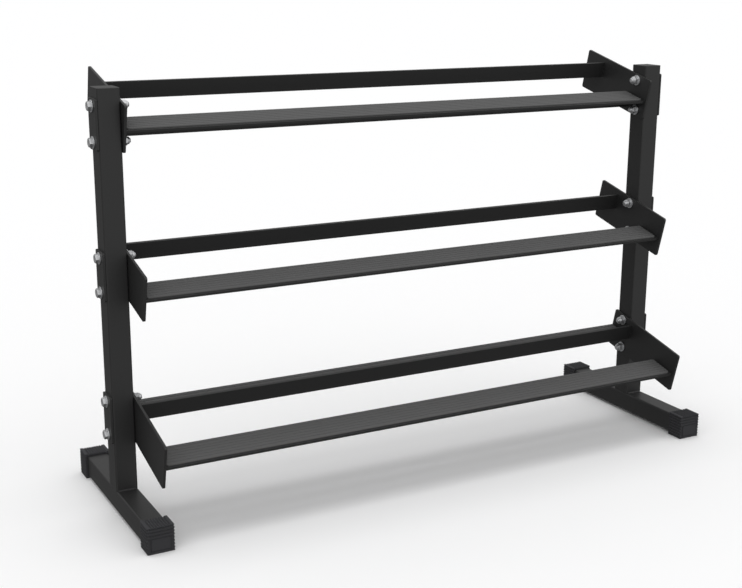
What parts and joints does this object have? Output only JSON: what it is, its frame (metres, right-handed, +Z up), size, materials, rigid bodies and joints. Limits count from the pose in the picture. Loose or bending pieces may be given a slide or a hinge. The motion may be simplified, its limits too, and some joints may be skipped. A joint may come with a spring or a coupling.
{
  "type": "dumbbell rack",
  "caption": "Free-standing dumbbell rack: square-tube side frames with ribbed foot caps carry sloping shelves of paired angle rails with ribbed rubber mats.",
  "frame": {"origin": "on the floor, midway between the side frames and on the uprights' centreline", "axes": "+X along the shelves, +Y to the back of the rack, +Z up"},
  "size_m": [1.546, 0.514, 0.9892],
  "materials": {
    "black_powder_coat": "semi-gloss black powder coat with a fine orange peel",
    "mat_rubber": "matt charcoal ribbed rubber",
    "foot_cap_rubber": "matt black moulded rubber",
    "plug_plastic": "fine-grained black plastic",
    "bright_zinc": "bright zinc plate on steel"
  },
  "bodies": {
    "root": {"bottom_front_mat": "mat_rubber", "bottom_front_rail": "black_powder_coat", "bottom_rail_welds": "black_powder_coat", "bottom_rear_mat": "mat_rubber", "bottom_rear_rail": "black_powder_coat", "left_base_weld": "black_powder_coat", "left_bottom_backing_plate": "black_powder_coat", "left_bottom_bolts": "bright_zinc", "left_bottom_end_plate": "black_powder_coat", "left_bottom_nuts": "bright_zinc", "left_bottom_washers": "bright_zinc", "left_foot_tube": "black_powder_coat", "left_front_foot_cap": "foot_cap_rubber", "left_middle_backing_plate": "black_powder_coat", "left_middle_bolts": "bright_zinc", "left_middle_end_plate": "black_powder_coat", "left_middle_nuts": "bright_zinc", "left_middle_washers": "bright_zinc", "left_rear_foot_cap": "foot_cap_rubber", "left_top_backing_plate": "black_powder_coat", "left_top_bolts": "bright_zinc", "left_top_end_plate": "black_powder_coat", "left_top_nuts": "bright_zinc", "left_top_washers": "bright_zinc", "left_upright": "black_powder_coat", "left_upright_cap": "plug_plastic", "middle_front_mat": "mat_rubber", "middle_front_rail": "black_powder_coat", "middle_rail_welds": "black_powder_coat", "middle_rear_mat": "mat_rubber", "middle_rear_rail": "black_powder_coat", "right_base_weld": "black_powder_coat", "right_bottom_backing_plate": "black_powder_coat", "right_bottom_bolts": "bright_zinc", "right_bottom_end_plate": "black_powder_coat", "right_bottom_nuts": "bright_zinc", "right_bottom_washers": "bright_zinc", "right_foot_tube": "black_powder_coat", "right_front_foot_cap": "foot_cap_rubber", "right_middle_backing_plate": "black_powder_coat", "right_middle_bolts": "bright_zinc", "right_middle_end_plate": "black_powder_coat", "right_middle_nuts": "bright_zinc", "right_middle_washers": "bright_zinc", "right_rear_foot_cap": "foot_cap_rubber", "right_top_backing_plate": "black_powder_coat", "right_top_bolts": "bright_zinc", "right_top_end_plate": "black_powder_coat", "right_top_nuts": "bright_zinc", "right_top_washers": "bright_zinc", "right_upright": "black_powder_coat", "right_upright_cap": "plug_plastic", "top_front_mat": "mat_rubber", "top_front_rail": "black_powder_coat", "top_rail_welds": "black_powder_coat", "top_rear_mat": "mat_rubber", "top_rear_rail": "black_powder_coat"}
  },
  "joints": []
}
